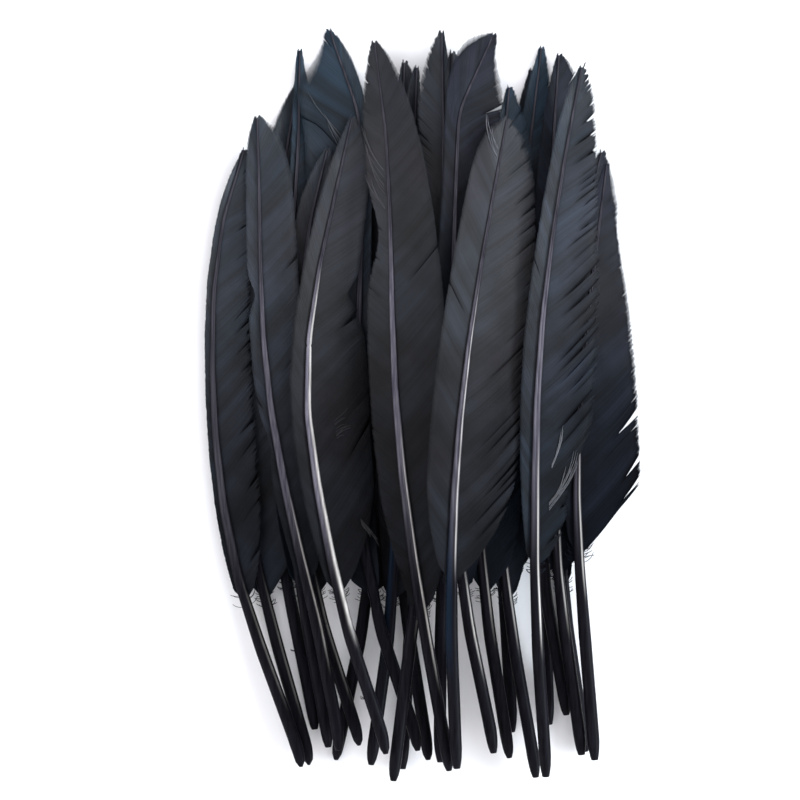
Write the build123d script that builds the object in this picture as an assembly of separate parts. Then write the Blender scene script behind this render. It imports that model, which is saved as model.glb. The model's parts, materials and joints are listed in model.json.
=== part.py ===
from build123d import *
import math
import os
from dataclasses import dataclass

import numpy as np
from scipy.interpolate import CubicSpline, PchipInterpolator
from scipy.optimize import linprog

# A loose pile of goose wing quills, dyed black, as they are sold for cutting into pens.
# All lie the same way: tips towards +Y, butts towards -Y, grooved side of the shaft up.
# Every quill is a horn shaft, hollow in its lower quarter, and a vane of two webs.
# Sizes are millimetres. The origin is the middle of the pile's box, on the table.

# --- the shaft of one quill
BARREL_RADIUS = 2.5
BARREL_WALL = 0.45
BUTT_RADIUS = 1.45
BUTT_TAPER = 8.0
HOLLOW_MOUTH_RADIUS = 0.7
TIP_RADIUS = 0.35
TAPER_START = 50.0
TAPER_POWER = 0.85
SHAFT_STATIONS = 12

# --- the vane of one quill
WEB_THICKNESS = 0.6
WEB_EDGE_THICKNESS = 0.4
WEB_CUP = 0.05
WEB_END_WIDTH = 0.8
WEB_ROOT_DEPTH = 0.25
WEB_TIP_OVERRUN = 2.0
VANE_STATIONS = (0.0, 0.05, 0.2, 0.45, 0.7, 0.88, 0.96, 1.0)
WEB_CUTS = (0.0, 0.05, 0.12, 0.2, 0.32, 0.45, 0.58, 0.7, 0.8, 0.88, 0.93, 0.97, 1.0)
LEAST_ROOT = 0.1

# --- how the quills lie on each other
GAP = 0.5
CELL = 1.0
ACROSS_SAMPLES = 7
TABLE_MARGIN = 20.0
MAX_SLOPE = 0.12
MAX_BEND = 12.0
MAX_SWAY = 6.0
MAX_ROLL = 0.30
MAX_TWIST = 0.18

# Web widths at the inner VANE_STATIONS, from the lowest barbs to just under the tip.
NARROW = (2.5, 6.0, 6.5, 6.0, 4.5, 2.5)
BROAD = (9.0, 17.0, 18.0, 16.0, 11.0, 5.0)


@dataclass
class Quill:
    """One quill: its shaft's line from butt to tip in plan, and its two webs."""

    name: str
    line: tuple
    vane_from: float = 66.0
    left: tuple = NARROW
    right: tuple = BROAD


# The pile from the bottom to the top. The numbers in the names count from left to right.
PILE = (
    Quill("quill_11", ((-8, -146), (-4, -78), (-1, -18), (0, 42), (-2, 114))),
    Quill("quill_13", ((3, -142), (-7, -78), (-13, -18), (-15, 42), (-14, 122))),
    Quill(
        "quill_26",
        ((65.6, -139), (62, -113.8), (57.2, -80), (55.5, -45), (57.5, -10), (63, 42), (61, 126)),
        right=NARROW,
    ),
    Quill(
        "quill_03",
        ((-42.8, -130), (-46.9, -105.6), (-53.5, -75), (-63, 2), (-59, 70), (-50, 128)),
        60.0,
        left=(2.5, 6.0, 6.5, 7.0, 7.0, 4.0),
    ),
    Quill("quill_02", ((-44.4, -144), (-58.2, -95.6), (-69.5, -45), (-74, 20), (-68.5, 98)), 68.0),
    Quill("quill_06", ((-35, -142), (-29, -116.4), (-22.5, -80), (-15, 2), (-10, 70), (-7, 137))),
    Quill(
        "quill_08",
        ((-20.7, -144), (-17.8, -126.8), (-12.6, -85), (-9, 0), (-5, 70), (-2, 135)),
        left=(2.5, 6.0, 6.5, 6.0, 5.0, 3.5),
        right=(9.0, 17.0, 18.0, 13.0, 3.0, 1.5),
    ),
    Quill("quill_14", ((7.6, -143), (7, -112), (8, -78), (8, 2), (10, 82), (12, 141))),
    Quill(
        "quill_19", ((36, -131), (34.6, -100), (32.5, -70), (30, -18), (34, 50), (44, 134)), 58.0
    ),
    Quill(
        "quill_20",
        ((45.8, -149), (39.6, -112), (34, -78), (32, -6), (38, 62), (48, 143)),
        72.0,
        right=(6.0, 15.0, 16.0, 11.0, 7.0, 3.5),
    ),
    Quill("quill_18", ((35.4, -141), (29.5, -108.2), (24.8, -72), (22, -18), (26, 42), (35, 127))),
    Quill(
        "quill_22",
        ((51, -128), (49, -46), (50, 22), (52, 90), (55, 140)),
        60.0,
        right=(9.0, 17.0, 18.0, 16.0, 12.5, 7.5),
    ),
    Quill(
        "quill_23",
        ((58.1, -124), (54, -102), (49.5, -76), (48.2, -50), (50, -10), (59, 46), (72, 101)),
        60.0,
    ),
    Quill(
        "quill_24",
        ((64, -140), (60.6, -113.8), (55.8, -80), (53.5, -45), (55, -10), (66, 46), (75, 79)),
        72.0,
        right=(9.0, 17.0, 18.0, 15.0, 9.0, 4.0),
    ),
    Quill(
        "quill_25",
        ((69.2, -142), (66.9, -112.4), (63, -64), (62, -18), (64, 14), (74, 96)),
        82.0,
        (2.5, 5.0, 6.0, 6.0, 4.5, 2.5),
        (12.0, 24.5, 21.5, 13.0, 4.5, 2.0),
    ),
    Quill(
        "quill_04",
        ((-37.3, -137), (-44.6, -94.4), (-50.5, -60), (-55, 2), (-52, 66), (-49, 142)),
        64.0,
        (2.5, 4.5, 4.5, 2.6, 2.6, 2.0),
        (6.0, 15.0, 16.0, 12.0, 6.0, 2.0),
    ),
    Quill(
        "quill_12",
        (
            (-1.2, -138),
            (-6.8, -118),
            (-17.2, -87.4),
            (-24.5, -45),
            (-26, 0),
            (-24, 82),
            (-27, 126),
            (-37, 150),
        ),
        64.0,
        (7.0, 17.0, 20.0, 22.0, 22.5, 9.0),
        (3.0, 4.5, 4.0, 3.5, 3.2, 2.6),
    ),
    Quill(
        "quill_01",
        (
            (-47.7, -144.6),
            (-58.8, -112.4),
            (-70.2, -81.2),
            (-80, -38),
            (-83.9, 10),
            (-80.5, 70),
            (-71.3, 102),
        ),
        70.0,
        (1.5, 2.0, 2.2, 2.5, 2.5, 1.5),
        (6.0, 14.0, 15.5, 14.0, 11.0, 6.0),
    ),
    Quill(
        "quill_10",
        ((-11.7, -150), (-7.6, -119), (-3.2, -84), (4, -35), (9, 50), (8, 149)),
        68.0,
        (3.0, 6.5, 8.0, 9.5, 10.0, 5.5),
        (5.0, 9.0, 7.0, 5.5, 4.0, 2.2),
    ),
    Quill(
        "quill_17",
        (
            (28.8, -139),
            (23.6, -110.4),
            (17.2, -80),
            (13, -30),
            (12, 22),
            (13.5, 86),
            (15, 120),
            (19.5, 139),
            (28.5, 148),
        ),
        66.0,
        (3.0, 7.0, 7.0, 5.0, 5.5, 6.5),
        (6.0, 14.0, 16.0, 17.0, 16.5, 9.0),
    ),
    Quill(
        "quill_07",
        ((-24.5, -136), (-32.1, -112.4), (-41, -83), (-50, 2), (-48, 50), (-38, 102)),
        62.0,
        (2.5, 5.0, 6.0, 6.0, 5.5, 3.0),
        (6.0, 13.0, 14.0, 13.0, 10.0, 5.0),
    ),
    Quill(
        "quill_05",
        (
            (-33.2, -138),
            (-36.4, -112.4),
            (-43.8, -80.4),
            (-52.8, -42),
            (-62, 10),
            (-65, 70),
            (-66, 115),
        ),
        68.0,
        (2.0, 3.5, 4.5, 5.0, 5.2, 3.8),
        (6.0, 13.0, 15.0, 14.5, 12.5, 8.0),
    ),
    Quill(
        "quill_09",
        ((-14, -139), (-22, -112.4), (-31.1, -84.7), (-38.5, -50), (-46, 0), (-42, 50), (-28, 115)),
        66.0,
        (2.5, 5.0, 6.0, 6.0, 5.0, 2.5),
        (8.0, 21.0, 24.0, 15.0, 12.0, 6.0),
    ),
    Quill(
        "quill_15",
        ((11.2, -146), (4.4, -108.8), (-2, -70.8), (-11, 10), (-13, 82), (-19, 145)),
        64.0,
        (3.5, 8.5, 9.5, 9.2, 8.5, 4.4),
        (7.0, 17.0, 21.0, 17.0, 10.8, 6.0),
    ),
    Quill(
        "quill_16",
        ((14, -145), (12, -62), (17, 10), (25, 64), (34, 114)),
        74.0,
        (4.5, 10.0, 11.0, 11.0, 10.5, 8.0),
        (8.0, 22.0, 26.0, 21.0, 14.5, 8.0),
    ),
    Quill(
        "quill_21",
        ((49.6, -148.6), (47.9, -119), (45.4, -80), (45.3, -38), (46, 2), (52, 66), (64, 135)),
        84.0,
        (2.5, 5.0, 6.0, 5.5, 5.0, 3.0),
        (7.0, 20.0, 22.5, 17.0, 10.0, 6.0),
    ),
)


class Shape:
    """The numbers behind one quill, measured along its shaft from the butt."""

    def __init__(self, quill):
        points = np.array(quill.line, float)
        chords = np.concatenate([[0], np.cumsum(np.hypot(*np.diff(points, axis=0).T))])
        self.line = CubicSpline(chords, points)
        self.length = chords[-1]
        self.vane_from = quill.vane_from
        self.webs = {-1: self.web_width(quill.left), 1: self.web_width(quill.right)}
        self.height = lambda along, across: np.zeros_like(along)

    def web_width(self, widths):
        """Width of a web along the shaft, from its first barb to its last."""
        places = self.vane_from + np.array(VANE_STATIONS) * (self.web_end() - self.vane_from)
        return PchipInterpolator(places, (WEB_END_WIDTH, *widths, WEB_END_WIDTH))

    def web_end(self):
        return self.length + WEB_TIP_OVERRUN

    def radius(self, along):
        """Shaft radius: a rounded butt, a straight barrel, then a long taper."""
        butt = np.clip(along / BUTT_TAPER, 0, 1)
        rounded = BUTT_RADIUS + (BARREL_RADIUS - BUTT_RADIUS) * np.sin(butt * math.pi / 2)
        taper = np.clip((along - TAPER_START) / (self.length - TAPER_START), 0, 1)
        return np.minimum(rounded, BARREL_RADIUS - (BARREL_RADIUS - TIP_RADIUS) * taper**TAPER_POWER)

    def plan(self, along, across):
        """Plan position of a point beside the shaft; across is positive to the right."""
        centre = self.line(along)
        slope = self.line(along, 1)
        slope = slope / np.linalg.norm(slope, axis=-1, keepdims=True)
        right = np.stack([slope[..., 1], -slope[..., 0]], axis=-1)
        return centre + right * np.asarray(across)[..., None]

    def web_rise(self, across):
        """The webs are cupped: they stand higher away from the shaft."""
        return WEB_CUP * np.abs(across)


def footprint(shape):
    """Points under and over one quill: plan position, underside and top about its axis."""
    along, across, low, high = [], [], [], []
    for s in np.arange(0, shape.web_end(), CELL):
        radius = float(shape.radius(s)) if s <= shape.length else 0.0
        for u in np.linspace(-radius, radius, ACROSS_SAMPLES):
            reach = math.sqrt(max(radius**2 - u**2, 0))
            along.append(s)
            across.append(u)
            low.append(-reach)
            high.append(reach)
        if s < shape.vane_from:
            continue
        for side, width in shape.webs.items():
            for u in np.arange(0, float(width(s)) + CELL / 2, CELL / 2):
                along.append(s)
                across.append(side * u)
                low.append(shape.web_rise(u) - WEB_THICKNESS / 2)
                high.append(shape.web_rise(u) + WEB_THICKNESS / 2)
    return tuple(np.array(values) for values in (along, across, low, high))


def shapes_of_lie(shape, along, across):
    """How a quill may lie: lifted, sloped, bent, rolled and twisted, one column each."""
    middle = 2 * along / shape.length - 1
    return np.stack(
        [np.ones_like(along), middle, middle**2, middle**3, across, across * middle], axis=-1
    )


def lay(shape, ground):
    """Lets one quill down on the ground map until it rests, and adds it to the map."""
    along, across, low, high = footprint(shape)
    cells = ground.cells(shape.plan(along, across))
    needed = ground.highest_near(cells) + GAP - low
    lies = shapes_of_lie(shape, along, across)
    half = shape.length / 2
    limits = (
        (None, None),
        (-MAX_SLOPE * half, MAX_SLOPE * half),
        (-MAX_BEND, MAX_BEND),
        (-MAX_SWAY, MAX_SWAY),
        (-MAX_ROLL, MAX_ROLL),
        (-MAX_TWIST, MAX_TWIST),
    )
    weight = (high - low) @ lies
    rest = linprog(weight, A_ub=-lies, b_ub=-needed, bounds=limits, method="highs").x
    shape.height = lambda s, u: shapes_of_lie(shape, s, u) @ rest
    ground.raise_to(cells, lies @ rest + high)


class Ground:
    """A map of how high the pile already stands, on a square grid over the table."""

    def __init__(self, corner, size):
        self.corner = np.array(corner)
        self.map = np.zeros(np.ceil(np.array(size) / CELL).astype(int) + 1)
        self.map -= GAP

    def cells(self, plan):
        return tuple(np.round((plan - self.corner) / CELL).astype(int).T)

    def highest_near(self, cells):
        """The highest of a cell and the eight around it, so that no edge is missed."""
        steps = (-1, 0, 1)
        x, y = cells
        return np.max([self.map[x + i, y + j] for i in steps for j in steps], axis=0)

    def raise_to(self, cells, heights):
        np.maximum.at(self.map, cells, heights)


def lay_pile():
    """Every quill's shape, laid down from the bottom of the pile to the top."""
    shapes = [Shape(quill) for quill in PILE]
    corners = np.concatenate([np.array(quill.line, float) for quill in PILE])
    margin = TABLE_MARGIN + max(BROAD)
    low = corners.min(axis=0) - margin
    ground = Ground(low, corners.max(axis=0) + margin - low)
    for shape in shapes:
        lay(shape, ground)
    return shapes


def axis_point(shape, along):
    s = np.array([float(along)])
    x, y = shape.plan(s, np.zeros(1))[0]
    return Vector(x, y, shape.height(s, np.zeros(1))[0])


def ring(shape, along, radius):
    """A circle round the shaft, square to it, that starts on its right-hand side."""
    step = 0.5
    ahead = axis_point(shape, along + step) - axis_point(shape, along - step)
    right = ahead.cross(Vector(0, 0, 1))
    return Wire.make_circle(radius, Plane(axis_point(shape, along), x_dir=right, z_dir=ahead))


def make_shaft(shape):
    """The calamus and rachis in one: a tapered horn tube, solid above the barrel."""
    butt = [0, BUTT_TAPER / 4, BUTT_TAPER / 2, BUTT_TAPER]
    rest = list(np.linspace(TAPER_START, shape.length, SHAFT_STATIONS - len(butt)))
    outer = [ring(shape, s, float(shape.radius(s))) for s in butt + rest]
    hollow = [ring(shape, -1, HOLLOW_MOUTH_RADIUS), ring(shape, BUTT_TAPER / 4, HOLLOW_MOUTH_RADIUS)]
    for s in (BUTT_TAPER / 2, BUTT_TAPER, TAPER_START, shape.vane_from):
        hollow.append(ring(shape, s, float(shape.radius(s)) - BARREL_WALL))
    return Solid.make_loft(outer, ruled=True) - Solid.make_loft(hollow, ruled=True)


def web_section(shape, side, along, width):
    """One slice of a web, rooted in the side of the shaft and thinner at its edge."""
    root = max(float(shape.radius(min(along, shape.length))) - WEB_ROOT_DEPTH, LEAST_ROOT)
    across = np.array([root, root + width / 2, root + width])
    half = np.array([WEB_THICKNESS, WEB_THICKNESS, WEB_EDGE_THICKNESS]) / 2
    s = np.full(3, float(along))
    plan = shape.plan(s, side * across)
    middle = shape.height(s, side * across) + shape.web_rise(across)
    top = [(x, y, z) for (x, y), z in zip(plan, middle + half)]
    under = [(x, y, z) for (x, y), z in zip(plan, middle - half)]
    return Wire.make_polygon(top + under[::-1])


def make_vane(shape):
    """Both webs, each one solid from its lowest barbs to the tip."""
    webs = []
    for side, width in shape.webs.items():
        places = shape.vane_from + np.array(WEB_CUTS) * (shape.web_end() - shape.vane_from)
        slices = [web_section(shape, side, s, float(width(s))) for s in places]
        webs.append(Solid.make_loft(slices, ruled=True))
    return Compound(webs)


def main():
    os.makedirs("parts", exist_ok=True)
    pieces = {}
    for quill, shape in zip(PILE, lay_pile()):
        pieces[quill.name + "_shaft"] = make_shaft(shape)
        pieces[quill.name + "_vane"] = make_vane(shape)
    box = Compound(list(pieces.values())).bounding_box()
    middle = Vector(box.center().X, box.center().Y, box.min.Z)
    for name, piece in pieces.items():
        export_step(piece.translate(-middle), f"parts/{name}.step")
    print("pile", box.size, "moved by", -middle)


main()
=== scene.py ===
import json
import math
from dataclasses import dataclass, field

import bpy
import numpy as np
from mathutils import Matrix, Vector

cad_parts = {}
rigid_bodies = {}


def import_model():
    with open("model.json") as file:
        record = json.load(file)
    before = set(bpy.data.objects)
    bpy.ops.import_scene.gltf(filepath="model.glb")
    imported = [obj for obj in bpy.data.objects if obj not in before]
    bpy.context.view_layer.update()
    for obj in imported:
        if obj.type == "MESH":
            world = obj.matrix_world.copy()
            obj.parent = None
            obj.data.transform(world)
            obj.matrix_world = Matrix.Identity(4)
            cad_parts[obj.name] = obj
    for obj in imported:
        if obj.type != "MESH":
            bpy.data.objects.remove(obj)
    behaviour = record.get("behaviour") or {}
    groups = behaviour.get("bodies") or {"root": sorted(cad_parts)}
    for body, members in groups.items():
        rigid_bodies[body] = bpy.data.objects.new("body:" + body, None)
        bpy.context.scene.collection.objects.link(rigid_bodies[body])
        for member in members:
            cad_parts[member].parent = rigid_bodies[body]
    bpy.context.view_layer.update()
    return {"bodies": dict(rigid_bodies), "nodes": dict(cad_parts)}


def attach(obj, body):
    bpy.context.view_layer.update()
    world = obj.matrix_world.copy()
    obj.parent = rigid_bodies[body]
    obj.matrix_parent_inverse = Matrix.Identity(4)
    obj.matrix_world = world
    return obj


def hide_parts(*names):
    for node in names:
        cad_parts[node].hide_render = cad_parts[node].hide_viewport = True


# Black goose wing quills in a loose pile. Every quill's shaft and the two webs of its vane
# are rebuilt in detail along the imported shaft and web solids. Lengths are metres.

MM = 0.001
SEED = 26

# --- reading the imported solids
SHAFT_STATIONS = 130
BUTT_TRIM = 0.3 * MM
TIP_TRIM = 0.2 * MM
WEB_PLACES = 160
WEB_TRIM = 0.1 * MM
LEAST_REACH = 2 * MM
AXIS_SMOOTHING = 9
REACH_SMOOTHING = 9
SLOPE_SMOOTHING = 27

# --- the horn shaft
RING_POINTS = 36
RACHIS_SQUARENESS = 3.4
GROOVE_DEPTH = 0.24
GROOVE_WIDTH = 0.22
RACHIS_BLEND = 30 * MM
GROOVE_FADE = 45 * MM
# A painted highlight runs along the right flank, on the side of the strip lamp; its place and width are
# shares of the radius.
FLANK = 0.6
FLANK_WIDTH = 0.11
LEAST_PALE = 0.24
NICK_DEPTH = 0.22
NICK_WIDTH = 0.45 * MM
# The rings of the butt, from inside its hole round the rim: share of the radius, depth in mm.
BUTT_RINGS = ((0.4, 1.4), (0.43, 0.1), (0.55, -0.3), (0.85, -0.22))
TIP_POINT = 0.6 * MM

# --- the barbs
BARB_PITCH = 0.6 * MM
BARB_OVERLAP = 1.6
RIDGE = 0.055 * MM
KEEL = 0.05 * MM
ROOT_IN_SHAFT = 0.8
LEAST_BARB = 0.1 * MM
EDGE_FUZZ = 0.25 * MM
SWEEP_WIDTH = 10 * MM
PARTING_REACH = 2.5 * MM
WAVE = 0.2 * MM
WAVE_ALONG = 8 * MM
WAVE_ACROSS = 6 * MM
MARCH_STEPS = 90
WIDEST_WEB = 36 * MM
BROAD_WEB = 11 * MM
TUFT_POINTS = 7
TUFT_STEEP = 4.0
TUFT_LIFT = 0.2 * MM
TIP_LEAN_FROM = 0.82
TIP_LEAN = 1.5
# How far the painted shade reaches beside each parting.
CRACK_SHADE_REACH = 0.8 * MM
BUNDLE = 6

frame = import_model()
rng = np.random.default_rng(SEED)


# ---------------------------------------------------------------- small tools


def unit(vectors):
    return vectors / np.linalg.norm(vectors, axis=-1, keepdims=True)


def ease(values, start, end):
    """0 before start, 1 after end, and smooth between them."""
    share = np.clip((values - start) / (end - start), 0, 1)
    return share * share * (3 - 2 * share)


def smooth(values, width):
    """A moving average that leaves the two ends where they are."""
    values = np.asarray(values, float)
    if values.ndim > 1:
        return np.stack([smooth(column, width) for column in values.T], axis=1)
    half = width // 2
    before = 2 * values[0] - values[half:0:-1]
    after = 2 * values[-1] - values[-2 : -half - 2 : -1]
    kernel = np.hanning(width + 2)[1:-1]
    return np.convolve(np.concatenate([before, values, after]), kernel / kernel.sum(), "valid")


def vertices_and_edges(node):
    mesh = frame["nodes"][node].data
    points = np.empty(len(mesh.vertices) * 3)
    mesh.vertices.foreach_get("co", points)
    ends = np.empty(len(mesh.edges) * 2, int)
    mesh.edges.foreach_get("vertices", ends)
    return points.reshape(-1, 3), ends.reshape(-1, 2)


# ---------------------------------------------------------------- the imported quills


class Quill:
    """Where one packed quill lies: the axis and radius of its shaft, and both its webs."""

    def __init__(self, name):
        self.name = name
        self.read_shaft()
        self.webs = {side: self.read_web(side) for side in (-1, 1)}
        self.vane_from = min(places[0] for places, _, _ in self.webs.values())

    def read_shaft(self):
        """Cuts the shaft into slices across the pile and joins the slices' middles."""
        points, ends = vertices_and_edges(self.name + "_shaft")
        a, b = points[ends[:, 0]], points[ends[:, 1]]
        low, high = points[:, 1].min() + BUTT_TRIM, points[:, 1].max() - TIP_TRIM
        centres, half_widths = [], []
        for y in np.linspace(low, high, SHAFT_STATIONS):
            crossing = (a[:, 1] - y) * (b[:, 1] - y) < 0
            p, q = a[crossing], b[crossing]
            cut = p + (q - p) * ((y - p[:, 1]) / (q[:, 1] - p[:, 1]))[:, None]
            centres.append((cut.min(axis=0) + cut.max(axis=0)) / 2)
            half_widths.append(np.ptp(cut[:, 0]) / 2)
        self.axis = smooth(centres, AXIS_SMOOTHING)
        self.ahead = unit(np.gradient(self.axis, axis=0))
        self.right = unit(np.cross(self.ahead, (0, 0, 1)))
        self.up = np.cross(self.right, self.ahead)
        steps = np.linalg.norm(np.diff(self.axis, axis=0), axis=1)
        self.along = np.concatenate([[0], np.cumsum(steps)])
        self.radius = np.array(half_widths) * np.abs(self.ahead[:, 1])
        self.length = self.along[-1]

    def read_web(self, side):
        """Places along the shaft, with the web's reach and its rise per metre at each."""
        points, ends = vertices_and_edges(self.name + "_vane")
        apart = points[:, None, :2] - self.axis[None, :, :2]
        near = np.argmin((apart**2).sum(axis=2), axis=1)
        offset = points - self.axis[near]
        along = self.along[near] + (offset * self.ahead[near]).sum(axis=1)
        mine = side * (offset * self.right[near]).sum(axis=1) > 0
        low, high = along[mine].min() + WEB_TRIM, along[mine].max() - WEB_TRIM
        places, reach, rise = np.linspace(low, high, WEB_PLACES), [], []
        for place in places:
            centre = self.point(place, np.zeros(()), np.zeros(()))
            ahead, right = self.at(place, self.ahead), self.at(place, self.right)
            depth = (points - centre) @ ahead
            a, b = ends[depth[ends[:, 0]] * depth[ends[:, 1]] < 0].T
            share = depth[a] / (depth[a] - depth[b])
            cut = points[a] + (points[b] - points[a]) * share[:, None] - centre
            across = side * cut @ right
            across[across > WIDEST_WEB] = 0
            reach.append(across.max())
            rise.append(cut[across.argmax(), 2])
        slope = np.array(rise) / np.maximum(reach, LEAST_REACH)
        return places, smooth(reach, REACH_SMOOTHING), smooth(slope, SLOPE_SMOOTHING)

    def at(self, along, values):
        """Values along the shaft, read between its stations."""
        if values.ndim == 1:
            return np.interp(along, self.along, values)
        return np.stack([np.interp(along, self.along, column) for column in values.T], axis=-1)

    def point(self, along, across, lift):
        """A point beside the shaft: across is positive to the right, lift is upwards."""
        beyond = np.maximum(along - self.length, 0)[..., None] * self.ahead[-1]
        sideways = self.at(along, self.right) * across[..., None]
        return self.at(along, self.axis) + beyond + sideways + lift[..., None] * np.array((0, 0, 1))


# ---------------------------------------------------------------- meshes


def make_piece(name, points, quads, triangles, attributes, material, rounded):
    mesh = bpy.data.meshes.new(name)
    corners = np.concatenate([quads.ravel(), triangles.ravel()]).astype(np.int32)
    sizes = np.concatenate([np.full(len(quads), 4), np.full(len(triangles), 3)])
    mesh.vertices.add(len(points))
    mesh.vertices.foreach_set("co", points.astype(np.float32).ravel())
    mesh.loops.add(len(corners))
    mesh.loops.foreach_set("vertex_index", corners)
    mesh.polygons.add(len(sizes))
    mesh.polygons.foreach_set("loop_start", (np.cumsum(sizes) - sizes).astype(np.int32))
    mesh.polygons.foreach_set("use_smooth", np.full(len(sizes), rounded))
    mesh.update(calc_edges=True)
    for key, values in attributes.items():
        layer = mesh.attributes.new(key, "FLOAT", "POINT")
        layer.data.foreach_set("value", np.asarray(values, np.float32))
    mesh.materials.append(material)
    piece = bpy.data.objects.new(name, mesh)
    bpy.context.scene.collection.objects.link(piece)
    return piece


def tube(rings, around):
    """Quads of a tube whose points come ring after ring."""
    i = np.arange(rings - 1)[:, None] * around
    j = np.arange(around)[None]
    k = (j + 1) % around
    return np.stack([i + j, i + around + j, i + around + k, i + k], axis=-1).reshape(-1, 4)


# ---------------------------------------------------------------- the horn shaft


def shaft_stations(quill, nicks):
    """Even stations along the shaft, with extra ones round each nick."""
    near = np.array([-3, -1.5, -0.7, 0, 0.7, 1.5, 3]) * NICK_WIDTH
    extra = [nick * quill.length + near for nick in nicks]
    return np.unique(np.concatenate([quill.along, *extra]))


def ring_shapes(quill, along, radius, line_width):
    """Each ring's offsets to the right and up, and how far a point is on the paler top face and on the
    painted highlight line.
    """
    angle = np.linspace(0, 2 * math.pi, RING_POINTS, endpoint=False)
    x, z = np.cos(angle), np.sin(angle)
    rachis = ease(along, quill.vane_from - RACHIS_BLEND / 2, quill.vane_from + RACHIS_BLEND)[:, None]
    power = 2 + (RACHIS_SQUARENESS - 2) * rachis
    squarish = (np.abs(x) ** power + np.abs(z) ** power) ** (-1 / power)
    groove = GROOVE_DEPTH * np.exp(-((x / GROOVE_WIDTH) ** 2)) * (z > 0) * rachis
    groove = groove * ease(quill.length - along, 0, GROOVE_FADE)[:, None]
    top = (1 - ease(np.abs(x * squarish), 0.6, 0.98)) * (z > 0) * rachis
    flank = np.exp(-(((x * squarish - FLANK) / line_width) ** 2)) * (z > 0)
    return x * squarish * radius[:, None], (z * squarish - groove) * radius[:, None], top, flank


def build_shaft(quill, look, material):
    """The horn shaft: rounded butt with its small hole, barrel, and grooved rachis."""
    along = shaft_stations(quill, look.nicks)
    radius = quill.at(along, quill.radius)
    for nick in look.nicks:
        cut = np.exp(-(((along - nick * quill.length) / NICK_WIDTH) ** 2))
        radius = radius * (1 - NICK_DEPTH * cut)
    sideways, upwards, top, flank = ring_shapes(quill, along, radius, look.line_width)
    axis = quill.at(along, quill.axis)
    right, up = quill.at(along, quill.right), quill.at(along, quill.up)
    rings = axis[:, None] + right[:, None] * sideways[..., None] + up[:, None] * upwards[..., None]
    butt = [
        axis[0] + quill.ahead[0] * depth * MM + (rings[0] - axis[0]) * share
        for share, depth in BUTT_RINGS
    ]
    rings = np.concatenate([butt, rings])
    lead = np.zeros((len(butt), RING_POINTS))
    tip = axis[-1] + quill.ahead[-1] * TIP_POINT
    points = np.concatenate([rings.reshape(-1, 3), [rings[0].mean(axis=0), tip]])
    last = (len(rings) - 1) * RING_POINTS
    j = np.arange(RING_POINTS)
    k = (j + 1) % RING_POINTS
    hole = np.stack([j, k, np.full(RING_POINTS, len(points) - 2)], axis=1)
    point_end = np.stack([last + k, last + j, np.full(RING_POINTS, len(points) - 1)], axis=1)
    share = along / quill.length
    # The highlight line paints a pale strip on the right flank where the strip lamp would glint: a
    # painted highlight.
    start, end, strength = look.line
    lit = strength * ease(share, start - 0.04, start + 0.04) * (1 - ease(share, end - 0.08, end + 0.04))
    blue = look.blue * ease(share, 0.12, 0.22) * (1 - ease(share, 0.3, 0.45))
    left = ease(-sideways / radius[:, None], -0.3, 0.4)
    # The paler top face of the rachis is thin dye, and partly a painted reflection of the lights.
    lavender = look.pale * ease(share, 0.24, 0.48) * (1 - ease(share, 0.62, 0.84) * 0.9)
    lavender = np.maximum(lavender, LEAST_PALE * ease(share, 0.4, 0.65))
    masks = {
        "top": top * lavender[:, None],
        "line": flank * lit[:, None],
        "blue": left * blue[:, None],
    }
    attributes = {
        key: np.append(np.concatenate([lead, mask]).ravel(), (0, 0)) for key, mask in masks.items()
    }
    triangles = np.concatenate([hole, point_end])
    faces = tube(len(rings), RING_POINTS)
    piece = make_piece(quill.name + "_horn", points, faces, triangles, attributes, material, True)
    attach(piece, quill.name)
    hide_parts(quill.name + "_shaft")


# ---------------------------------------------------------------- the webs


@dataclass
class Edge:
    """How one web's barbs run and how its edge has worn.

    Barbs lean towards the tip by steep, and bend by sweep; each has a number of steps. Locks
    part the web every few millimetres, by about gap, and deep is the share of a barb's length
    from which these partings open. Ragged is the share of its length that a barb may have lost.
    Splits are single wide partings: share of the web's length, width in mm and depth. Bites are
    places where the web is narrower: share, width in mm and depth.
    """

    steep: float = 0.9
    sweep: float = 0.12
    steps: int = 8
    lock: tuple = (5, 12)
    gap: float = 0.5
    deep: tuple = (0.3, 0.8)
    ragged: float = 0.04
    splits: tuple = ()
    bites: tuple = ()


def smooth_edge(**changes):
    return Edge(**{"gap": 0.0, "ragged": 0.0, **changes})


def narrow_edge(**changes):
    return Edge(**{"steep": 1.6, "sweep": 0.5, "steps": 5, "gap": 0.0, "ragged": 0.0, **changes})


def run_along(across, steep, sweep):
    """How far towards the tip a barb has run when it is a given distance across."""
    return steep * across + sweep * across**2 / SWEEP_WIDTH


def barb_lengths(quill, side, edge):
    """Each barb's root along the shaft, its lean, and how far across it ends."""
    places, reach, _ = quill.webs[side]
    for share, width, depth in edge.bites:
        place = places[0] + share * (places[-1] - places[0])
        reach = reach * (1 - depth * np.exp(-(((places - place) / (width * MM)) ** 2)))
    roots = np.arange(places[0], quill.length - 0.3 * MM, BARB_PITCH)
    share = (roots - roots[0]) / (roots[-1] - roots[0])
    lean = 1 + TIP_LEAN * ease(share, TIP_LEAN_FROM, 1.0)
    across = np.linspace(0, WIDEST_WEB, MARCH_STEPS)
    track = roots[:, None] + run_along(across, edge.steep * lean[:, None], edge.sweep * lean[:, None])
    inside = np.interp(track, places, reach, right=0) - across
    row = np.arange(len(roots))
    stop = np.maximum(np.argmax(inside <= 0, axis=1), 1)
    left, over = inside[row, stop - 1], inside[row, stop]
    ends = across[stop - 1] + (across[1] - across[0]) * np.clip(left / (left - over), 0, 1)
    return roots, share, lean, ends


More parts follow.
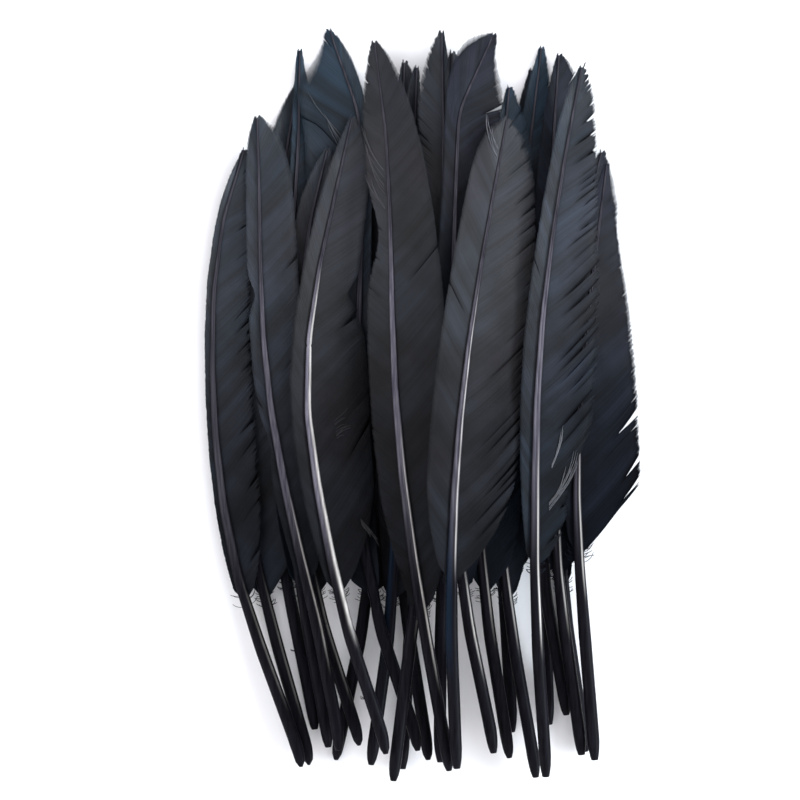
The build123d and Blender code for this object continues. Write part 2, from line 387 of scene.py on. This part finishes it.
def partings(roots, t, edge):
    """Where the web has parted: how far each barb point moves, and how dark the painted shade in the
    cracks is.
    """
    borders, place = [], roots[0]
    while edge.gap > 0 and place < roots[-1]:
        place += rng.uniform(*edge.lock) * MM
        borders.append((place, edge.gap * rng.uniform(0.2, 1.6) * MM, rng.uniform(*edge.deep)))
    for share, width, depth in edge.splits:
        borders.append((roots[0] + share * (roots[-1] - roots[0]), width * MM, depth))
    moved = np.zeros((len(roots), t.shape[-1]))
    dark = np.zeros_like(moved)
    for place, width, depth in borders:
        apart = roots[:, None] - place
        opened = np.clip((t - depth) / (1 - depth), 0, 1)
        nearby = np.exp(-np.abs(apart) / (PARTING_REACH + 2 * width))
        moved += np.sign(apart) * width / 2 * nearby * opened
        # Painted shade: barbs just past a parting are darkened, standing in for the shadow in the crack.
        close = np.exp(-np.abs(apart) / (CRACK_SHADE_REACH + width / 3)) * (apart > 0)
        dark = np.maximum(dark, close * np.clip(opened * 3, 0, 1) * min(width / MM, 1))
    return moved, dark


def build_web(quill, side, edge):
    """One web: a closed three-sided ribbon for every barb."""
    roots, share, lean, ends = barb_lengths(quill, side, edge)
    root_across = np.interp(roots, quill.along, quill.radius) * ROOT_IN_SHAFT
    worn = 1 - edge.ragged * rng.uniform(0, 1, len(roots)) ** 2
    fuzzy = ends * worn - rng.uniform(0, 1, len(roots)) * EDGE_FUZZ
    ends = np.maximum(fuzzy, root_across + LEAST_BARB)
    t = np.linspace(0, 1, edge.steps + 1)[None] ** 0.9
    across = root_across[:, None] + (ends - root_across)[:, None] * t
    along = roots[:, None] + run_along(across, edge.steep * lean[:, None], edge.sweep * lean[:, None])
    moved, crack = partings(roots, t, edge)
    along = along + moved
    slope = np.interp(along, quill.webs[side][0], quill.webs[side][2])
    phase = rng.uniform(0, 2 * math.pi, 2)
    wave = np.sin(along / WAVE_ALONG + phase[0]) * np.sin(across / WAVE_ACROSS + phase[1])
    bundle = bundled(len(roots))
    flutter = (0.16 * (bundle - 0.5) + rng.normal(0, 0.03, len(roots)))[:, None] * MM
    lift = slope * across + (WAVE * wave + flutter) * t
    points = ribbons(quill.point(along, side * across, lift), edge.steep * lean, t)
    count, ring = len(roots), edge.steps + 1
    attributes = {
        "along": np.repeat(share, ring * 3),
        "crack": np.repeat(crack.ravel(), 3),
        "bare": np.zeros(count * ring * 3),
        "barb": np.repeat(0.35 * rng.uniform(0, 1, count) + 0.65 * bundle, ring * 3),
    }
    return points, *ribbon_faces(count, ring), attributes


def bundled(count):
    """A value for each barb, alike for barbs that cling together in a bundle."""
    knots = np.arange(0, count + BUNDLE, BUNDLE)
    return np.interp(np.arange(count), knots, rng.uniform(0, 1, len(knots)))


def ribbons(centre, steep, t):
    """Widens barb centre lines into three-sided ribbons: a ridge and two lower edges."""
    direction = unit(np.gradient(centre, axis=1))
    flat = unit(np.cross((0, 0, 1), direction))
    normal = np.cross(direction, flat)
    half = BARB_PITCH * BARB_OVERLAP / 2 * np.sin(np.arctan2(1, steep))[:, None]
    half = (half * np.clip((1 - t) * 6, 0.3, 1))[..., None]
    ridge = centre + normal * RIDGE
    edges = [centre + flat * half * away - normal * KEEL for away in (1, -1)]
    return np.stack([ridge, *edges], axis=2)


def ribbon_faces(count, ring):
    """Quads and end triangles of count ribbons of ring points each, three to a point."""
    first = (np.arange(count) * ring * 3)[:, None, None]
    i = (np.arange(ring - 1) * 3)[None, :, None]
    j = np.arange(3)[None, None]
    k = (j + 1) % 3
    quads = np.stack([first + i + j, first + i + 3 + j, first + i + 3 + k, first + i + k], axis=-1)
    near = first[:, 0] + np.arange(3)
    far = near[:, ::-1] + (ring - 1) * 3
    return quads.reshape(-1, 4), np.concatenate([near, far])


def build_tuft(quill, tuft):
    """A tuft of loose barbs that curl away from where they start."""
    ring = TUFT_POINTS
    t = np.linspace(0, 1, ring)[None]
    count = tuft.count
    first = quill.vane_from + tuft.share * (quill.length - quill.vane_from)
    foot = first + rng.uniform(-1, 1, count)[:, None] * tuft.spread * MM
    size = tuft.size * rng.uniform(0.5, 1.2, count)[:, None] * MM
    curl = tuft.curl + rng.uniform(-0.4, 0.4, count)[:, None]
    start = np.interp(foot, quill.along, quill.radius) * ROOT_IN_SHAFT + tuft.out * MM
    across = tuft.side * (start + size * np.sin(t * 1.3) * 0.8)
    along = foot + size * (tuft.rise * t + curl * t**2)
    places, _, slopes = quill.webs[tuft.side]
    lift = np.interp(along, places, slopes) * np.abs(across) + TUFT_LIFT * (t + (tuft.out > 0))
    points = ribbons(quill.point(along, across, lift), np.full(count, TUFT_STEEP), t)
    attributes = {
        "along": np.full(count * ring * 3, tuft.share),
        "crack": np.zeros(count * ring * 3),
        "bare": np.full(count * ring * 3, tuft.bare),
        "barb": np.repeat(rng.uniform(0.3, 1, count), ring * 3),
    }
    return points, *ribbon_faces(count, ring), attributes


def build_vane(quill, look, material):
    parts = [build_web(quill, side, look.edge(quill, side)) for side in (-1, 1)]
    parts += [build_tuft(quill, tuft) for tuft in look.tufts]
    points, quads, caps, offset = [], [], [], 0
    for part_points, part_quads, part_caps, _ in parts:
        points.append(part_points.reshape(-1, 3))
        quads.append(part_quads + offset)
        caps.append(part_caps + offset)
        offset += len(points[-1])
    attributes = {key: np.concatenate([part[3][key] for part in parts]) for key in parts[0][3]}
    arrays = [np.concatenate(values) for values in (points, quads, caps)]
    piece = make_piece(quill.name + "_barbs", *arrays, attributes, material, False)
    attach(piece, quill.name)
    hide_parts(quill.name + "_vane")


# ---------------------------------------------------------------- materials


def new_material(name):
    material = bpy.data.materials.new(name)
    material.use_nodes = True
    tree = material.node_tree
    return material, tree.nodes, tree.links, tree.nodes["Principled BSDF"]


def attribute(nodes, name):
    node = nodes.new("ShaderNodeAttribute")
    node.attribute_name = name
    return node.outputs["Fac"]


def noise(nodes, links, scale, detail, stretch=(1, 1, 1)):
    """Noise in the object's own coordinates, in features per metre."""
    place = nodes.new("ShaderNodeTexCoord")
    mapping = nodes.new("ShaderNodeMapping")
    mapping.inputs["Scale"].default_value = stretch
    texture = nodes.new("ShaderNodeTexNoise")
    texture.inputs["Scale"].default_value = scale
    texture.inputs["Detail"].default_value = detail
    links.new(place.outputs["Object"], mapping.inputs["Vector"])
    links.new(mapping.outputs["Vector"], texture.inputs["Vector"])
    return texture.outputs["Fac"]


def ramp(nodes, links, factor, *stops):
    node = nodes.new("ShaderNodeValToRGB")
    elements = node.color_ramp.elements
    while len(elements) < len(stops):
        elements.new(0.5)
    for element, (place, colour) in zip(elements, stops):
        element.position = place
        element.color = (*colour, 1)
    links.new(factor, node.inputs["Fac"])
    return node.outputs["Color"]


def mix(nodes, links, factor, one, two, mode="MIX"):
    node = nodes.new("ShaderNodeMix")
    node.data_type = "RGBA"
    node.blend_type = mode
    sockets = (node.inputs["Factor"], node.inputs[6], node.inputs[7])
    for value, socket in zip((factor, one, two), sockets):
        if isinstance(value, bpy.types.NodeSocket):
            links.new(value, socket)
        elif isinstance(value, tuple):
            socket.default_value = (*value, 1)
        else:
            socket.default_value = value
    return node.outputs[2]


def bump(nodes, links, shader, height, strength, distance):
    node = nodes.new("ShaderNodeBump")
    node.inputs["Strength"].default_value = strength
    node.inputs["Distance"].default_value = distance
    links.new(height, node.inputs["Height"])
    links.new(node.outputs["Normal"], shader.inputs["Normal"])


def barb_material(name, dark, light, tip, gloss):
    """Dyed barbs: patchy near-black, darkened towards the foot of the vane by a painted shade,
    other-coloured at the tip.
    """
    material, nodes, links, shader = new_material(name)
    along = attribute(nodes, "along")
    colour = ramp(nodes, links, noise(nodes, links, 40, 4), (0.38, dark), (0.62, light))
    near_tip = ramp(nodes, links, along, (0.7, (0, 0, 0)), (1.0, (1, 1, 1)))
    colour = mix(nodes, links, near_tip, colour, tip)
    streaks = ((0.1, (0.5, 0.5, 0.51)), (0.9, (1.55, 1.55, 1.6)))
    # Painted shade: the base colour darkens towards the foot of the vane.
    foot = ((0.0, (0.4, 0.4, 0.4)), (0.3, (0.62, 0.62, 0.62)), (0.62, (1, 1, 1)))
    tints = ((0.36, (1.06, 0.97, 1.06)), (0.64, (0.86, 1.02, 1.14)))
    # Painted shade in the cracks darkens the colour and the gloss.
    crack_shade_stops = ((0.0, (1, 1, 1)), (1.0, (0.12, 0.12, 0.12)))
    layers = (
        (attribute(nodes, "barb"), streaks),
        (along, foot),
        (attribute(nodes, "crack"), crack_shade_stops),
        (noise(nodes, links, 22, 2), tints),
    )
    for factor, stops in layers:
        colour = mix(nodes, links, 1.0, colour, ramp(nodes, links, factor, *stops), "MULTIPLY")
    colour = mix(nodes, links, attribute(nodes, "bare"), colour, (0.42, 0.42, 0.45))
    links.new(colour, shader.inputs["Base Color"])
    shine = ((0.0, (gloss * 0.2,) * 3), (0.3, (gloss * 0.4,) * 3), (0.65, (gloss,) * 3))
    shine = ramp(nodes, links, along, *shine)
    shade = ramp(nodes, links, attribute(nodes, "crack"), *crack_shade_stops)
    shine = mix(nodes, links, 1.0, shine, shade, "MULTIPLY")
    links.new(shine, shader.inputs["Specular IOR Level"])
    mottle = noise(nodes, links, 120, 2)
    rough = ramp(nodes, links, mottle, (0.3, (0.42,) * 3), (0.7, (0.6,) * 3))
    links.new(rough, shader.inputs["Roughness"])
    shader.inputs["Base Color"].default_value = (*light, 1)
    return material


def horn_material(name):
    """Dyed horn: near-black barrel, a paler streaked top face that is thin dye and partly a painted
    reflection, and a painted white highlight line on the rachis.
    """
    material, nodes, links, shader = new_material(name)
    fibres = noise(nodes, links, 1, 4, (900, 30, 900))
    pale = ramp(nodes, links, fibres, (0.3, (0.07, 0.067, 0.09)), (0.75, (0.19, 0.18, 0.215)))
    # The pale colour of the painted highlight line on the flank.
    bare = ramp(nodes, links, fibres, (0.3, (0.32, 0.305, 0.29)), (0.7, (0.62, 0.60, 0.58)))
    dark = ramp(nodes, links, fibres, (0.3, (0.003, 0.003, 0.004)), (0.75, (0.008, 0.0075, 0.011)))
    colour = mix(nodes, links, attribute(nodes, "blue"), dark, (0.005, 0.011, 0.022))
    # The top face is painted paler: thin dye, and partly a painted reflection.
    colour = mix(nodes, links, attribute(nodes, "top"), colour, pale)
    colour = mix(nodes, links, attribute(nodes, "line"), colour, bare)
    links.new(colour, shader.inputs["Base Color"])
    scuffs = noise(nodes, links, 700, 3)
    rough = ramp(nodes, links, scuffs, (0.3, (0.26, 0.26, 0.26)), (0.7, (0.42, 0.42, 0.42)))
    links.new(rough, shader.inputs["Roughness"])
    shader.inputs["IOR"].default_value = 1.09
    shader.inputs["Base Color"].default_value = (0.006, 0.006, 0.008, 1)
    bump(nodes, links, shader, scuffs, 0.2, 0.08 * MM)
    return material


# ---------------------------------------------------------------- the looks of each quill


@dataclass
class Tuft:
    """Loose barbs: where they start on a web, how many, how long, and how they curl.

    Share is along the vane, and below 0 it is on the barrel. Size, out (the distance from the
    shaft) and spread are in mm. Bare is how much the dye has worn off.
    """

    side: int
    share: float
    count: int
    size: float
    out: float = 0.0
    spread: float = 3.0
    rise: float = 0.25
    curl: float = 0.2
    bare: float = 0.0


def down(count=7, size=2.8):
    """The downy barbs at the foot of a vane, on both sides."""
    return [Tuft(side, 0.0, count, size) for side in (-1, 1)]


def stub(side, share):
    """Stumps of stripped barbs left on the barrel, below the foot of the vane."""
    return [Tuft(side, share, 4, 2.2, spread=0.5)]


@dataclass
class Look:
    """What sets one quill apart: its horn, its dye, its edges and its loose barbs.

    Pale is how much paler the top face of the rachis is painted: thin dye, and partly a painted
    reflection. The highlight line on its flank is a painted highlight with a start, an end and a
    strength, and nicks are shares of the shaft's length.
    """

    pale: float = 0.08
    dye: str = "charcoal"
    left: Edge = None
    right: Edge = None
    line: tuple = (0.2, 0.3, 0.0)
    line_width: float = FLANK_WIDTH
    blue: float = 0.0
    nicks: tuple = ()
    tufts: list = field(default_factory=down)

    def edge(self, quill, side):
        """The edge that was chosen for this web, or else one that suits its width."""
        chosen = self.left if side < 0 else self.right
        if chosen:
            return chosen
        return Edge() if quill.webs[side][1].max() > BROAD_WEB else narrow_edge(gap=0.15)


LOOKS = {
    "quill_01": Look(
        0.30,
        "slate",
        narrow_edge(),
        Edge(gap=1.2, ragged=0.12, lock=(5, 16), deep=(0.3, 0.8)),
        line=(0.12, 0.3, 0.3),
        tufts=down(3, 4),
    ),
    "quill_02": Look(0.08, "slate", narrow_edge(), Edge(gap=0.8), line=(0.1, 0.3, 0.3)),
    "quill_03": Look(0.10, "slate", narrow_edge(), tufts=down() + stub(1, -0.13) + stub(-1, -0.14)),
    "quill_04": Look(0.25, "teal", narrow_edge(), smooth_edge(), tufts=down() + stub(-1, -0.13)),
    "quill_05": Look(
        0.55,
        "slate",
        narrow_edge(splits=((0.35, 1.5, 0.4),), bites=((0.62, 6, 0.5), (0.3, 10, 0.5))),
        smooth_edge(splits=((0.62, 1.5, 0.6), (0.3, 1.2, 0.5), (0.42, 0.8, 0.3))),
        line=(0.15, 0.4, 0.7),
        tufts=down() + stub(1, -0.1) + stub(1, -0.2),
    ),
    "quill_07": Look(0.15, "charcoal", narrow_edge(), Edge(gap=0.6), line=(0.1, 0.3, 0.3)),
    "quill_08": Look(0.08, "charcoal", blue=0.7),
    "quill_09": Look(
        1.0,
        "charcoal",
        narrow_edge(),
        smooth_edge(splits=((0.5, 3.0, 0.6), (0.2, 1.5, 0.5)), bites=((0.63, 7, 0.28),)),
        line=(0.2, 0.74, 0.9),
        line_width=0.3,
        nicks=(0.642,),
        tufts=down(8)
        + stub(-1, -0.22)
        + [
            Tuft(1, 0.14, 8, 6, out=13, rise=-1.8, curl=0.3, bare=0.06, spread=1.5),
            Tuft(1, 0.34, 10, 7, out=9, rise=0.8, curl=-0.3, bare=0.04, spread=4),
        ],
    ),
    "quill_10": Look(
        0.15, "charcoal", Edge(gap=0.6, ragged=0.06, lock=(3, 7)), line=(0.22, 0.42, 0.9)
    ),
    "quill_12": Look(
        0.10,
        "teal",
        smooth_edge(
            steep=1.0,
            splits=((0.96, 1.3, 0.2), (0.6, 1.5, 0.4), (0.75, 1.0, 0.2)),
            bites=((0.93, 7, -0.3),),
        ),
        narrow_edge(),
        tufts=down() + [Tuft(-1, 0.78, 5, 14, out=3, rise=1.0, curl=0.3, bare=0.1, spread=3)],
    ),
    "quill_15": Look(
        0.7,
        "charcoal",
        Edge(gap=0.5, lock=(5, 16), bites=((0.66, 16, 0.5),)),
        smooth_edge(splits=((0.55, 0.8, 0.3),)),
        line=(0.14, 0.46, 1.0),
        tufts=down(10) + [Tuft(-1, 0.72, 10, 9, out=1, rise=1.4, curl=0.3, bare=0.1, spread=14)],
    ),
    "quill_16": Look(
        0.55,
        "soot",
        smooth_edge(steep=1.3, splits=((0.55, 0.8, 0.2),)),
        Edge(gap=1.3, ragged=0.03, lock=(3, 10), deep=(0.15, 0.8)),
        line=(0.32, 0.72, 0.8),
        blue=0.9,
        tufts=down(8) + [Tuft(-1, 0.93, 6, 8, out=1, rise=1.2, curl=0.2, bare=0.14, spread=2)],
    ),
    "quill_17": Look(
        0.12,
        "ink",
        narrow_edge(),
        Edge(gap=0.15, ragged=0.02, splits=((0.72, 1.0, 0.6), (0.82, 2.2, 0.5))),
        line=(0.13, 0.26, 0.7),
    ),
    "quill_18": Look(0.10, "teal", line=(0.2, 0.32, 0.5)),
    "quill_20": Look(0.10, "teal", line=(0.2, 0.36, 0.6)),
    "quill_21": Look(
        0.65,
        "slate",
        narrow_edge(splits=((0.55, 1.0, 0.3),)),
        Edge(gap=1.7, ragged=0.08, lock=(3, 9), deep=(0.1, 0.7), bites=((0.17, 14, 0.3),)),
        line=(0.2, 0.46, 1.0),
        tufts=down(6)
        + [
            Tuft(1, 0.12, 14, 14, out=4, rise=1.3, curl=0.2, bare=0.14, spread=1.6),
            Tuft(1, 0.2, 10, 5, out=5, rise=2.4, curl=0.4, bare=0.2, spread=0.8),
        ],
    ),
    "quill_22": Look(0.10, "ink"),
    "quill_23": Look(0.10, "ink"),
    "quill_24": Look(0.10, "ink", None, Edge(gap=1.2, ragged=0.06, lock=(3, 8)), line=(0.24, 0.42, 0.6)),
    "quill_25": Look(
        0.2,
        "ink",
        None,
        Edge(
            gap=0.3,
            ragged=0.03,
            lock=(8, 18),
            splits=((0.2, 3.5, 0.6), (0.01, 2.0, 0.6), (0.06, 2.5, 0.7)),
        ),
        line=(0.3, 0.52, 0.9),
        tufts=down(12, 5),
    ),
    "quill_26": Look(0.10, "ink"),
}

HORN = horn_material("black_horn")
BARBS = {
    name: barb_material(name + "_barbs", *colours)
    for name, colours in {
        "charcoal": ((0.0035, 0.004, 0.0052), (0.010, 0.0108, 0.014), (0.008, 0.010, 0.014), 0.26),
        "soot": ((0.006, 0.006, 0.0075), (0.014, 0.0143, 0.0175), (0.012, 0.013, 0.016), 0.26),
        "slate": ((0.0045, 0.006, 0.0085), (0.013, 0.0165, 0.0225), (0.008, 0.012, 0.017), 0.30),
        "teal": ((0.0035, 0.005, 0.0075), (0.009, 0.0135, 0.019), (0.006, 0.017, 0.027), 0.20),
        "ink": ((0.0028, 0.0031, 0.0045), (0.0068, 0.0077, 0.0112), (0.006, 0.007, 0.011), 0.10),
    }.items()
}

for body in frame["bodies"]:
    quill = Quill(body)
    look = LOOKS.get(body, Look())
    build_shaft(quill, look, HORN)
    build_vane(quill, look, BARBS[look.dye])


# ---------------------------------------------------------------- floor, light and camera


def build_floor():
    half = 3.0
    corners = [(-half, -half, 0), (half, -half, 0), (half, half, 0), (-half, half, 0)]
    mesh = bpy.data.meshes.new("floor")
    mesh.from_pydata(corners, [], [(0, 1, 2, 3)])
    material, _, _, shader = new_material("white_table")
    shader.inputs["Base Color"].default_value = (0.86, 0.86, 0.88, 1)
    shader.inputs["Roughness"].default_value = 0.8
    mesh.materials.append(material)
    floor = bpy.data.objects.new("floor", mesh)
    bpy.context.scene.collection.objects.link(floor)


def build_sky():
    """A white tent, dark straight overhead."""
    world = bpy.data.worlds.new("tent")
    world.use_nodes = True
    nodes, links = world.node_tree.nodes, world.node_tree.links
    place = nodes.new("ShaderNodeTexCoord")
    split = nodes.new("ShaderNodeSeparateXYZ")
    links.new(place.outputs["Generated"], split.inputs["Vector"])
    stops = (
        (0.0, (1, 1, 1)),
        (0.55, (0.98, 0.98, 1)),
        (0.85, (0.4, 0.4, 0.42)),
        (0.97, (0.1, 0.1, 0.105)),
    )
    tent = ramp(nodes, links, split.outputs["Z"], *stops)
    links.new(tent, nodes["Background"].inputs["Color"])
    nodes["Background"].inputs["Strength"].default_value = 2.5
    bpy.context.scene.world = world


def area_light(name, position, width, height, power, colour):
    data = bpy.data.lights.new(name, "AREA")
    data.shape = "RECTANGLE"
    data.size = width
    data.size_y = height
    data.energy = power
    data.color = colour
    lamp = bpy.data.objects.new(name, data)
    lamp.location = position
    lamp.rotation_euler = (-Vector(position)).to_track_quat("-Z", "Y").to_euler()
    bpy.context.scene.collection.objects.link(lamp)


def build_camera():
    """Straight above the pile and far away, so that it sees hardly any perspective."""
    data = bpy.data.cameras.new("camera")
    height, seen = 6.0, 0.321
    across, along = -9.0 * MM, 1.0 * MM
    data.lens = data.sensor_width * height / seen
    camera = bpy.data.objects.new("camera", data)
    camera.location = (across, along, height)
    bpy.context.scene.collection.objects.link(camera)
    bpy.context.scene.camera = camera


build_floor()
build_sky()
area_light("strip", (1.15, 0.1, 0.45), 1.5, 0.25, 26, (0.84, 0.93, 1))
build_camera()
bpy.context.scene.view_settings.view_transform = "Standard"
